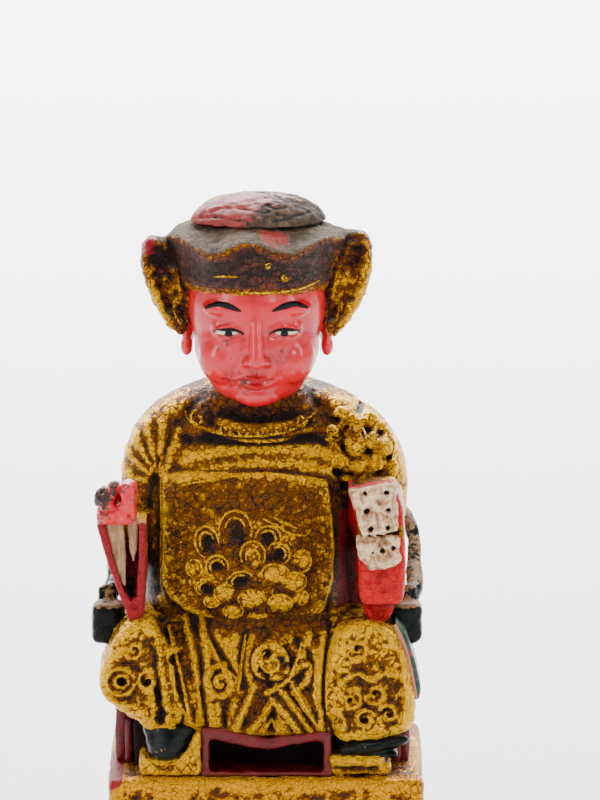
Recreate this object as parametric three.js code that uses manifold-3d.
// Seated ancestor figure in an official's robe, on a low armchair and a stepped plinth.
// Millimetres, +Z up. The figure faces -Y. Right and left are the figure's own, so right is -X.
// Each piece is one closed solid. Pieces that meet keep a small clearance.

import * as THREE from 'three';
import { mergeVertices } from 'three/addons/utils/BufferGeometryUtils.js';
import Module from 'manifold-3d';

const wasm = await Module();
wasm.setup();

const clearance = 0.3; // left wherever two pieces meet

// Plinth: three stacked blocks, a little to the left of the figure's axis.
const plinth = {
  middleX: 2.75,
  width: 93.5,
  depth: 82,
  baseTop: 13,
  waistTop: 31,
  top: 44,
  waistInset: 6,
  edge: 1.6,
};

// Box seat of the chair, standing on the plinth and open to the front.
const seat = {
  middleX: 1.65,
  halfWidth: 41,
  front: -20,
  back: 34,
  bottom: 58,
  top: 63,
  panelThick: 2.6,
  panelInset: 0.8,
};

const post = { side: 4, frontY: -14, backY: 31, spread: 42.15, tenon: 3 };

// Horseshoe rail: two arms that rise to a crest rail behind the figure.
const rail = {
  wide: 4.4,
  tall: 5.6,
  armEndZ: 88,
  armEndX: 44.7,
  crestZ: 118,
  crestY: 34,
  crestHalf: 20,
  blockWide: 9.6,
  blockDeep: 11,
  blockTall: 12.5,
};

const splat = { halfWidth: 11, thick: 3 };

const rest = { rightX: -25.8, leftX: 30.8, halfWidth: 9.2, front: -38.5, back: -9, top: 50.5 };

const bootRight = { x: -26, y: -31, sole: 48, wide: 10.5, long: 19, tall: 11, turn: 0 };
const bootLeft = { x: 34, y: -30.5, sole: 49, wide: 12, long: 19, tall: 8, turn: 0.45 };

// Trunk and lap levels: height, middle x, half width, front y, back y.
const trunkLevels = [
  [63, -1, 32, -25, 20],
  [76, -2, 32, -29, 21],
  [90, -3, 31, -30, 21.5],
  [104, -3, 30.5, -28.5, 22],
  [118, -2, 31, -24.5, 22.5],
  [130, -1, 32, -20, 22.5],
  [140, 0, 30, -17, 22],
  [148, 0, 25, -14.5, 19],
  [154, 0, 19, -12.5, 16],
  [158, 0, 13, -10, 12],
];

const lapLevels = [
  [56.5, 1, 40, -36.5, 2],
  [60, 0, 43, -38, 14],
  [72, 0, 43, -38, 16],
  [82, 0, 39, -35, 16],
  [89, 0, 33, -29, 15],
];

// Shoulders and upper arms under the robe, down to the elbows.
const mantleLevels = [
  [96, 1, 38, -6, 14],
  [104, 1.5, 41, -8, 16],
  [116, 2, 43, -9, 17],
  [128, 2.2, 43.4, -9.5, 17.5],
  [136, 2, 41, -9.5, 17.5],
  [143, 1.5, 38, -9, 17],
  [149, 1, 33.5, -8, 16],
  [153.5, 0.6, 26, -7, 15],
  [157.5, 0.2, 16, -6, 12],
];

const neck = { radius: 8.5, tenonRadius: 6.5, tenonBottom: 143.5, top: 160 };
const head = { middleY: -4, eyeZ: 178, chinZ: 152, topZ: 200, halfWidth: 20.5, tilt: 0.16 };

const hat = { bandBottom: 187.5, brimZ: 201, top: 205.7, wave: 1.3, waves: 6, wingThick: 4.5 };
const crown = { bottom: 206, top: 215, halfWidth: 20.5, pegRadius: 1.7, pegBottom: 201, pegTop: 211 };

const sleeve = { seamY: -3.5, front: -34, pegRadius: 1.6, pegLength: 14 };
const fist = { x: -41.3, front: -38.5, back: -26, bottom: 119.3, top: 133, halfWidth: 6.3 };
const stub = { x: 34.6, front: -38.5, back: -31.5, halfWidth: 6.9, bottom: 107, step: 118, top: 132 };
const holes = { radius: 1.05, deep: 3.2, gripRadius: 1.1 };
const handTenon = { radius: 2.6, length: 9 };

// Consecration cavity in the back, with its plug, a rolled paper and a packet of herbs.
const cavity = { halfWidth: 6, bottom: 127, top: 141, front: 2 };
const plug = { border: 2.2, face: 24.5, shoulder: 20.3, inner: 16.6 };
const seatPeg = { radius: 1.8, spread: 16, y: 2, top: 72 };

function paint(color, roughness, metalness = 0) {
  return new THREE.MeshStandardMaterial({ color, roughness, metalness });
}

const gilt = () => paint('#b8860b', 0.4, 0.6);
const redLacquer = () => paint('#b0141c', 0.35);
const blackLacquer = () => paint('#26201c', 0.3);
const faceLacquer = () => paint('#e8505a', 0.3);
const bareWood = () => paint('#b08a60', 0.8);
const gesso = () => paint('#e0c8a8', 0.8);
const cap = () => paint('#6e5f50', 0.85);
const paper = () => paint('#d8c090', 0.9);
const cloth = () => paint('#9a2a20', 0.95);

function solidOf(geometry) {
  const bare = geometry.clone();
  bare.deleteAttribute('normal');
  bare.deleteAttribute('uv');
  const merged = mergeVertices(bare, 1e-4);
  const vertProperties = new Float32Array(merged.attributes.position.array);
  const triVerts = new Uint32Array(merged.index.array);
  return new wasm.Manifold(new wasm.Mesh({ numProp: 3, vertProperties, triVerts }));
}

function geometryOf(solid) {
  const mesh = solid.getMesh();
  const geometry = new THREE.BufferGeometry();
  geometry.setAttribute('position', new THREE.BufferAttribute(mesh.vertProperties, 3));
  geometry.setIndex(new THREE.BufferAttribute(mesh.triVerts, 1));
  geometry.computeVertexNormals();
  return geometry;
}

function joined(...solids) {
  return solids.reduce((whole, next) => whole.add(next));
}

function cut(solid, ...tools) {
  return tools.reduce((left, tool) => left.subtract(tool), solid);
}

function block(x0, x1, y0, y1, z0, z1) {
  const geometry = new THREE.BoxGeometry(x1 - x0, y1 - y0, z1 - z0);
  geometry.translate((x0 + x1) / 2, (y0 + y1) / 2, (z0 + z1) / 2);
  return solidOf(geometry);
}

// A board with softened edges.
function board(x0, x1, y0, y1, z0, z1, edge) {
  const outline = new THREE.Shape();
  outline.moveTo(x0 + edge, y0 + edge);
  outline.lineTo(x1 - edge, y0 + edge);
  outline.lineTo(x1 - edge, y1 - edge);
  outline.lineTo(x0 + edge, y1 - edge);
  outline.closePath();
  const geometry = new THREE.ExtrudeGeometry(outline, {
    depth: z1 - z0 - 2 * edge,
    bevelSize: edge,
    bevelThickness: edge,
    bevelSegments: 1,
  });
  geometry.translate(0, 0, z0 + edge);
  return solidOf(geometry);
}

function oval(x, y, z, rx, ry, rz, sides = 14) {
  const geometry = new THREE.SphereGeometry(1, sides, Math.round(sides * 0.6));
  geometry.scale(rx, ry, rz);
  geometry.translate(x, y, z);
  return solidOf(geometry);
}

function rod(radius, from, to, sides = 12) {
  const start = new THREE.Vector3(...from);
  const end = new THREE.Vector3(...to);
  const along = end.clone().sub(start);
  const geometry = new THREE.CylinderGeometry(radius, radius, along.length(), sides);
  const turn = new THREE.Quaternion();
  turn.setFromUnitVectors(new THREE.Vector3(0, 1, 0), along.clone().normalize());
  geometry.applyQuaternion(turn);
  geometry.translate(...start.add(end).multiplyScalar(0.5).toArray());
  return solidOf(geometry);
}

// A closed form through level outlines, each [z, middle x, half width, front y, back y].
// Squareness 2 gives ovals and more gives rounded rectangles. Grow widens every level.
function lofted(levels, { sides = 24, squareness = 2.6, grow = 0, wave = () => 0 } = {}) {
  const last = levels.length - 1;
  const geometry = new THREE.CylinderGeometry(1, 1, 1, sides, last);
  const points = geometry.attributes.position;
  const bulge = (value) => Math.sign(value) * Math.abs(value) ** (2 / squareness);
  for (let i = 0; i < points.count; i += 1) {
    const row = Math.round((points.getY(i) + 0.5) * last);
    const [z, middle, half, front, back] = levels[row];
    const across = points.getX(i);
    const deep = -points.getZ(i);
    const x = middle + (half + grow) * bulge(across);
    const y = (front + back) / 2 + ((back - front) / 2 + grow) * bulge(deep);
    const reach = row === 0 ? -grow : row === last ? grow : 0;
    points.setXYZ(i, x, y, z + reach + wave(row, Math.atan2(deep, across)));
  }
  return solidOf(geometry);
}

// A bar swept along a smooth curve through the given points.
function swept(route, wide, tall, steps) {
  const edge = Math.min(wide, tall) * 0.3;
  const section = new THREE.Shape();
  section.moveTo(-tall / 2 + edge, -wide / 2);
  section.lineTo(tall / 2 - edge, -wide / 2);
  section.lineTo(tall / 2, -wide / 2 + edge);
  section.lineTo(tall / 2, wide / 2 - edge);
  section.lineTo(tall / 2 - edge, wide / 2);
  section.lineTo(-tall / 2 + edge, wide / 2);
  section.lineTo(-tall / 2, wide / 2 - edge);
  section.lineTo(-tall / 2, -wide / 2 + edge);
  section.closePath();
  const extrudePath = new THREE.CatmullRomCurve3(route.map((at) => new THREE.Vector3(...at)));
  return solidOf(new THREE.ExtrudeGeometry(section, { steps, extrudePath }));
}

// A form turned about the x axis through the given point.
function nodded(solid, angle, y, z) {
  const geometry = geometryOf(solid);
  geometry.translate(0, -y, -z);
  geometry.rotateX(angle);
  geometry.translate(0, y, z);
  return solidOf(geometry);
}

function plinthBlocks() {
  const x0 = plinth.middleX - plinth.width / 2;
  const x1 = plinth.middleX + plinth.width / 2;
  const y = plinth.depth / 2;
  const inset = plinth.waistInset;
  const waistBottom = plinth.baseTop + clearance;
  const topBottom = plinth.waistTop + clearance;
  return {
    plinth_base: board(x0, x1, -y, y, 0, plinth.baseTop, plinth.edge),
    plinth_waist: board(x0 + inset, x1 - inset, -y + inset, y - inset, waistBottom, plinth.waistTop, plinth.edge),
    plinth_top: board(x0, x1, -y, y, topBottom, plinth.top, plinth.edge),
  };
}

const onPlinth = plinth.top + clearance;

function postX(side) {
  return seat.middleX + side * post.spread;
}

// Back posts stand a little further in, where the horseshoe rail closes.
function backPostX(side) {
  return seat.middleX + side * (post.spread - 12);
}

function armZ(y) {
  const along = (y + 20) / (rail.crestY + 20);
  return rail.armEndZ + (rail.crestZ - rail.armEndZ) * along ** 1.25;
}

function postForm(x, y, top, grow = 0) {
  const half = post.side / 2 + grow;
  return board(x - half, x + half, y - half, y + half, onPlinth - grow, top + grow, 0.7);
}

function frontPost(side, grow = 0) {
  return postForm(postX(side), post.frontY, rail.armEndZ - 1, grow);
}

function backPost(side, grow = 0) {
  return postForm(backPostX(side), post.backY, rail.crestZ - 5, grow);
}

function seatForm(grow = 0) {
  const x0 = seat.middleX - seat.halfWidth - grow;
  const x1 = seat.middleX + seat.halfWidth + grow;
  return board(x0, x1, seat.front - grow, seat.back + grow, seat.bottom - grow, seat.top + grow, 1);
}

function seatPegForm(side, grow = 0) {
  const x = side * seatPeg.spread;
  return rod(seatPeg.radius + grow, [x, seatPeg.y, seat.bottom - grow], [x, seatPeg.y, seatPeg.top + grow]);
}

function seatBoard() {
  const sides = [-1, 1];
  const posts = sides.flatMap((side) => [frontPost(side, clearance), backPost(side, clearance)]);
  const pegs = sides.map((side) => seatPegForm(side, clearance));
  return cut(seatForm(), ...posts, ...pegs);
}

function sidePanel(side) {
  const x = seat.middleX + side * (seat.halfWidth - seat.panelInset);
  const half = seat.panelThick / 2;
  const y0 = seat.front + 2;
  const y1 = post.backY - post.side / 2 - clearance;
  const panel = board(x - half, x + half, y0, y1, onPlinth, seat.bottom - clearance, 0.5);
  return cut(panel, frontPost(side, clearance), backPost(side, clearance));
}

function rearPanel() {
  const half = seat.panelThick / 2;
  const inner = seat.halfWidth - seat.panelInset - seat.panelThick / 2 - clearance;
  const x0 = seat.middleX - inner;
  const x1 = seat.middleX + inner;
  const y = post.backY - 6;
  const panel = board(x0, x1, y - half, y + half, onPlinth, seat.bottom - clearance, 0.5);
  return cut(panel, backPost(-1, clearance), backPost(1, clearance));
}

function armRoute(side) {
  const reach = rail.armEndX;
  const stations = [
    [reach, -20],
    [reach + 0.6, -8],
    [reach + 0.8, 4],
    [reach - 1.4, 15],
    [reach - 7, 25],
    [reach - 15.5, 31.5],
    [rail.crestHalf - 2, rail.crestY],
  ];
  return stations.map(([x, y]) => [side * x, y, armZ(y)]);
}

// Arm bar with a scrolled end block.
function armForm(side, grow = 0) {
  const bar = swept(armRoute(side), rail.wide + 2 * grow, rail.tall + 2 * grow, 14);
  const halfWide = rail.blockWide / 2 + grow;
  const halfTall = rail.blockTall / 2 + grow;
  const x = side * rail.armEndX;
  const z = rail.armEndZ;
  const front = -20 - rail.blockDeep / 2 - grow;
  const back = front + rail.blockDeep + 2 * grow;
  const end = board(x - halfWide, x + halfWide, front, back, z - halfTall, z + halfTall, 2.4);
  const knuckle = oval(x, front + 4, z + rail.blockTall / 2, halfWide - 1, 4, 2.6 + grow, 10);
  return joined(bar, end, knuckle);
}

function chairArm(side) {
  const crestRoom = block(-rail.crestHalf, rail.crestHalf, 20, 50, 100, 140);
  const posts = [frontPost(side, clearance), backPost(side, clearance)];
  return cut(armForm(side), crestRoom, ...posts);
}

function backRail() {
  const half = rail.crestHalf - clearance;
  const reach = half + 3;
  const y = rail.crestY;
  const route = [[-reach, y - 0.4, rail.crestZ], [0, y + 1.4, rail.crestZ + 0.6], [reach, y - 0.4, rail.crestZ]];
  const bar = swept(route, rail.wide, rail.tall + 1.4, 10);
  const ends = [block(-60, -half, 20, 50, 100, 140), block(half, 60, 20, 50, 100, 140)];
  return cut(bar, splatForm(clearance), ...ends);
}

function splatForm(grow = 0) {
  const half = splat.halfWidth + grow;
  const y = rail.crestY - 1;
  const y0 = y - splat.thick / 2 - grow;
  const y1 = y + splat.thick / 2 + grow;
  const top = rail.crestZ - 1.5 + grow;
  return board(seat.middleX - half, seat.middleX + half, y0, y1, seat.top + clearance, top, 0.8);
}

function bootForm(boot, grow = 0) {
  const { x, y, sole, wide, long, tall } = boot;
  const toe = sole + tall * 0.62;
  const halfLong = long / 2;
  const upper = oval(0, -halfLong * 0.28, sole + 2, wide / 2 + grow, halfLong * 0.72 + grow, toe - sole - 2 + grow);
  const ankle = rod(wide * 0.4 + grow, [0, halfLong * 0.35, sole + 1.5], [0, halfLong * 0.35, sole + tall + grow], 12);
  const floor = sole - grow;
  const soleForm = lofted(
    [
      [floor, 0, wide / 2 - 1, -halfLong + 0.6, halfLong - 1],
      [floor + 1.6, 0, wide / 2 - 0.2, -halfLong, halfLong - 0.6],
      [sole + 3.2 + grow, 0, wide / 2 - 0.4, -halfLong + 0.5, halfLong - 1],
    ],
    { grow, squareness: 2.4, sides: 16 },
  );
  const geometry = geometryOf(joined(upper, ankle, soleForm));
  geometry.rotateZ(boot.turn);
  geometry.translate(x, y, 0);
  return cut(solidOf(geometry), block(-60, 60, -60, 20, floor - 20, floor));
}

function footrestForm(x, grow = 0) {
  const half = rest.halfWidth + grow;
  return board(x - half, x + half, rest.front - grow, rest.back + grow, onPlinth - grow, rest.top + grow, 1);
}

function footrest(x, boot) {
  return cut(footrestForm(x), bootForm(boot, clearance));
}

function headForm(grow = 0) {
  const { middleY, eyeZ, chinZ, topZ, halfWidth, tilt } = head;
  const skullTall = topZ - eyeZ + 4;
  const skull = oval(0, middleY, eyeZ, halfWidth + grow, 20 + grow, skullTall + grow, 22);
  const jaw = oval(0, middleY - 3, chinZ + 14, halfWidth * 0.8 + grow, 16 + grow, 14 + grow, 18);
  const nose = oval(0, middleY - 19.2, eyeZ - 8, 2.8 + grow, 3.6 + grow, 6 + grow, 10);
  const ears = [-1, 1].map((side) => (
    oval(side * (halfWidth - 0.4), middleY + 3, eyeZ - 6, 2.4 + grow, 4 + grow, 8 + grow, 10)
  ));
  const face = nodded(joined(skull, jaw, nose, ...ears), tilt, middleY, chinZ + 14);
  const column = rod(neck.radius + grow, [0, 0, neck.tenonBottom + 6], [0, -2, neck.top], 16);
  const tenon = rod(neck.tenonRadius + grow, [0, 0, neck.tenonBottom - grow], [0, 0, neck.top], 16);
  const lid = block(-40, 40, -60, 60, topZ + grow, topZ + 30);
  return cut(joined(face, column, tenon), lid);
}

function wingOutline(side) {
  const outline = new THREE.Shape();
  outline.moveTo(side * 19, 192);
  outline.quadraticCurveTo(side * 25, 195, side * 30, 200.5);
  outline.quadraticCurveTo(side * 34.5, 201.5, side * 33.6, 195);
  outline.quadraticCurveTo(side * 32.6, 184, side * 28, 177);
  outline.quadraticCurveTo(side * 25.5, 172.5, side * 22.3, 171);
  outline.quadraticCurveTo(side * 21, 180, side * 19, 192);
  return outline;
}

function wing(side) {
  const geometry = new THREE.ExtrudeGeometry(wingOutline(side), {
    depth: hat.wingThick,
    bevelSize: 0.6,
    bevelThickness: 0.6,
    bevelSegments: 1,
    curveSegments: 6,
  });
  geometry.rotateX(Math.PI / 2);
  geometry.translate(0, hat.wingThick - 1, 0);
  return solidOf(geometry);
}

function hatBrim() {
  const brimRow = 3;
  const levels = [
    [hat.bandBottom, 0, 22.8, -26, 20],
    [hat.bandBottom + 5, 0, 23.6, -27.4, 21],
    [hat.brimZ - 4, 0, 25, -28.5, 22],
    [hat.brimZ, 0, 27.2, -30, 23.5],
    [hat.brimZ + 2, 0, 25.5, -26.5, 21.5],
    [hat.top, 0, 21, -20, 18],
  ];
  const wave = (row, angle) => (row === brimRow ? hat.wave * Math.cos(hat.waves * angle) : 0);
  const form = lofted(levels, { sides: 36, squareness: 2.2, wave });
  return cut(joined(form, wing(-1), wing(1)), headForm(clearance), crownPegForm(clearance));
}

function crownPegForm(grow = 0) {
  return rod(crown.pegRadius + grow, [0, 0, crown.pegBottom - grow], [0, 0, crown.pegTop + grow], 12);
}

function hatCrown() {
  const { bottom, top, halfWidth } = crown;
  const levels = [
    [bottom, 0, halfWidth - 0.4, -19, 17],
    [bottom + 1.5, 0, halfWidth, -19.4, 17.4],
    [bottom + 4, 0, halfWidth - 1.6, -18, 16],
    [bottom + 6.5, 0, halfWidth - 5, -14.6, 13],
    [top - 0.7, 0, halfWidth - 10, -9.6, 8.6],
    [top, 0, halfWidth - 15.5, -4, 4],
  ];
  return cut(lofted(levels, { squareness: 2.2 }), crownPegForm(clearance));
}

function sleeveLevels(side) {
  const { front, seamY } = sleeve;
  const back = seamY - clearance / 2;
  if (side < 0) {
    return [
      [90, -36, 2.2, front + 1, -14],
      [96, -36.8, 3.8, front, back],
      [104, -38, 5.6, front, back],
      [114, -39.6, 7.4, front, back],
      [124, -40.3, 8.2, front, back],
      [131, -40.2, 7.4, front + 3, back],
      [134, -40, 5.4, front + 8, back],
    ];
  }
  return [
    [89.5, 34, 4.4, front + 1, -14],
    [94, 34.6, 6.4, front, back],
    [104, 35.4, 7.8, front, back],
    [116, 35.6, 8.4, front, back],
    [126, 35.4, 8.6, front, back],
    [131, 35.2, 7.6, front + 3, back],
    [134, 35, 5.6, front + 8, back],
  ];
}

function sleeveForm(side, grow = 0) {
  return lofted(sleeveLevels(side), { squareness: 3.6, grow, sides: 20 });
}

function sleevePegForm(side, grow = 0) {
  const x = side < 0 ? -40 : 35.4;
  const half = sleeve.pegLength / 2 + grow;
  return rod(sleeve.pegRadius + grow, [x, sleeve.seamY - half, 112], [x, sleeve.seamY + half, 112]);
}

function tenonForm(x, z, from, grow = 0) {
  return rod(handTenon.radius + grow, [x, from - 2, z], [x, from + handTenon.length + grow, z]);
}

// Hollow mouth of the right sleeve, a long wedge narrowing to its tip.
function cuffMouth() {
  const levels = [
    [93.5, -36.3, 0.6, -40, -29],
    [100, -37, 2.6, -40, -27],
    [110, -38.4, 4.6, -40, -26],
    [118, -39.6, 5.4, -40, -26],
  ];
  return lofted(levels, { squareness: 4, sides: 20 });
}

function rightSleeve() {
  const room = block(
    fist.x - 12, fist.x + 12, fist.front - 5, fist.back + clearance, fist.bottom - clearance, 140,
  );
  const tenonRoom = tenonForm(fist.x, 126, fist.back, clearance);
  const near = [armForm(-1, clearance), sleevePegForm(-1, clearance)];
  return cut(sleeveForm(-1), room, cuffMouth(), tenonRoom, ...near);
}

function leftSleeve() {
  const room = block(
    stub.x - 12, stub.x + 14, stub.front - 5, stub.back + clearance, stub.bottom - clearance, 140,
  );
  const tenonRoom = tenonForm(stub.x, 122, stub.back, clearance);
  const near = [armForm(1, clearance), sleevePegForm(1, clearance)];
  return cut(sleeveForm(1), room, tenonRoom, ...near);
}

function rightHand() {
  const { x, front, back, bottom, top, halfWidth } = fist;
  const palm = board(x - halfWidth, x + halfWidth, front + 3, back, bottom, top - 1, 2);
  const knuckles = [0, 1, 2, 3].map((finger) => (
    oval(x - 4.6 + finger * 3.1, front + 4, bottom + 7.2, 1.9, 4, 6.2, 8)
  ));
  const thumb = oval(x + 2.4, front + 6.5, top - 1.8, 3.4, 4.4, 1.8, 8);
  const grip = rod(holes.gripRadius, [x - 1, front + 7.5, bottom - 2], [x - 1, front + 7.5, top + 2], 8);
  return cut(joined(palm, ...knuckles, thumb, tenonForm(x, 126, back)), grip);
}

// Broken flat of the left hand: two plates, with the peg holes of the lost piece.
function leftHandStub() {
  const { x, front, back, halfWidth, bottom, step, top } = stub;
  const upper = board(x - halfWidth, x + halfWidth - 0.4, front, back, step - 1, top, 1);
  const lower = board(x - halfWidth + 1.4, x + halfWidth + 1.2, front + 1.4, back, bottom, step, 1);
  const rows = [
    [-2.6, 129.6], [3.2, 129.8], [-2.4, 124.4], [4, 125], [-1.4, 119.8], [3.6, 120], [1.8, 112.6], [4.6, 113.2],
  ];
  const bores = rows.map(([dx, z]) => (
    rod(holes.radius, [x + dx, front - 2, z], [x + dx, front + holes.deep + 1.4, z], 8)
  ));
  return cut(joined(upper, lower, tenonForm(x, 122, back)), ...bores);
}

function cavityRoom() {
  const { halfWidth, bottom, top, front } = cavity;
  const { border, shoulder } = plug;
  const hollow = block(-halfWidth, halfWidth, front, 30, bottom, top);
  const reach = halfWidth + border + clearance;
  const rebate = block(
    -reach, reach, shoulder - clearance, 40, bottom - border - clearance, top + border + clearance,
  );
  return hollow.add(rebate);
}

function backPlug() {
  const { halfWidth, bottom, top } = cavity;
  const { border, face, shoulder, inner } = plug;
  const wide = halfWidth + border;
  const lid = board(-wide, wide, shoulder, face, bottom - border, top + border, 0.8);
  const fit = halfWidth - clearance;
  const spigot = board(-fit, fit, inner, shoulder + 1.5, bottom + clearance, top - clearance, 0.5);
  return joined(lid, spigot);
}

function documentRoll() {
  const z0 = cavity.bottom + 1;
  return rod(2.4, [-3, 6, z0], [-3, 6, cavity.top - 1], 16);
}

function herbPacket() {
  const z = cavity.bottom + 0.4;
  const levels = [
    [z, 2.9, 1.6, 4.4, 7.4],
    [z + 2, 2.9, 2.5, 3.2, 8.6],
    [z + 7, 2.9, 2.5, 3.2, 8.6],
    [z + 9, 2.9, 1.2, 4.8, 7],
  ];
  return lofted(levels, { squareness: 2.8, sides: 16 });
}

// Lap, knees and hanging robe, with the two rounded side lobes.
function lapForm() {
  const base = lofted(lapLevels, { squareness: 3, sides: 28 });
  const lobes = [
    oval(-34.5, -27, 70.5, 12.6, 13, 16.4, 16),
    oval(35.5, -27, 70.5, 12.6, 13, 16.6, 16),
  ];
  const boss = oval(4.8, -35.5, 76, 6, 3.6, 6, 10);
  return joined(base, ...lobes, boss);
}

function figureBlock() {
  const trunk = lofted(trunkLevels, { sides: 28 });
  const mantle = lofted(mantleLevels, { sides: 28, squareness: 3.4 });
  const collar = lofted(
    [[141, 0, 15, -18, 13], [145, 0, 16.4, -19, 14], [149.5, 0, 14.6, -17, 13], [152, 0, 12, -14, 11]],
    { squareness: 2, sides: 24 },
  );
  const sides = [-1, 1];
  const body = joined(trunk, mantle, lapForm(), collar);
  const chair = sides.flatMap((side) => [
    frontPost(side, clearance),
    armForm(side, clearance),
    sleeveForm(side, clearance),
    sleevePegForm(side, clearance),
    seatPegForm(side, clearance),
  ]);
  const under = block(-60, 60, seat.front - clearance, 60, 40, seat.top + clearance);
  const feet = [
    bootForm(bootRight, clearance),
    bootForm(bootLeft, clearance),
    footrestForm(rest.rightX, clearance),
    footrestForm(rest.leftX, clearance),
  ];
  const recess = block(
    rest.rightX + rest.halfWidth, rest.leftX - rest.halfWidth, -60, 0, 40, rest.top + clearance,
  );
  return cut(body, ...chair, under, ...feet, recess, headForm(clearance), cavityRoom());
}

const figure = new THREE.Group();

function addPiece(name, solid, material) {
  const mesh = new THREE.Mesh(geometryOf(solid), material);
  mesh.name = name;
  figure.add(mesh);
}

for (const [name, solid] of Object.entries(plinthBlocks())) {
  addPiece(name, solid, gilt());
}
addPiece('footrest_right', footrest(rest.rightX, bootRight), gilt());
addPiece('footrest_left', footrest(rest.leftX, bootLeft), gilt());
addPiece('seat_board', seatBoard(), redLacquer());
addPiece('rear_panel', rearPanel(), redLacquer());
addPiece('back_rail', backRail(), blackLacquer());
addPiece('back_splat', splatForm(), redLacquer());
for (const [side, word] of [[-1, 'right'], [1, 'left']]) {
  addPiece(`front_post_${word}`, frontPost(side), redLacquer());
  addPiece(`back_post_${word}`, backPost(side), redLacquer());
  addPiece(`side_panel_${word}`, sidePanel(side), redLacquer());
  addPiece(`chair_arm_${word}`, chairArm(side), blackLacquer());
  addPiece(`seat_peg_${word}`, seatPegForm(side), bareWood());
  addPiece(`sleeve_peg_${word}`, sleevePegForm(side), bareWood());
}
addPiece('figure_block', figureBlock(), gilt());
addPiece('sleeve_right', rightSleeve(), gilt());
addPiece('sleeve_left', leftSleeve(), redLacquer());
addPiece('hand_right', rightHand(), faceLacquer());
addPiece('hand_stub_left', leftHandStub(), gesso());
addPiece('boot_right', bootForm(bootRight), blackLacquer());
addPiece('boot_left', bootForm(bootLeft), blackLacquer());
addPiece('head', headForm(), faceLacquer());
addPiece('hat_brim', hatBrim(), gilt());
addPiece('crown_peg', crownPegForm(), bareWood());
addPiece('hat_crown', hatCrown(), cap());
addPiece('back_plug', backPlug(), redLacquer());
addPiece('document_roll', documentRoll(), paper());
addPiece('herb_packet', herbPacket(), cloth());

export default figure;
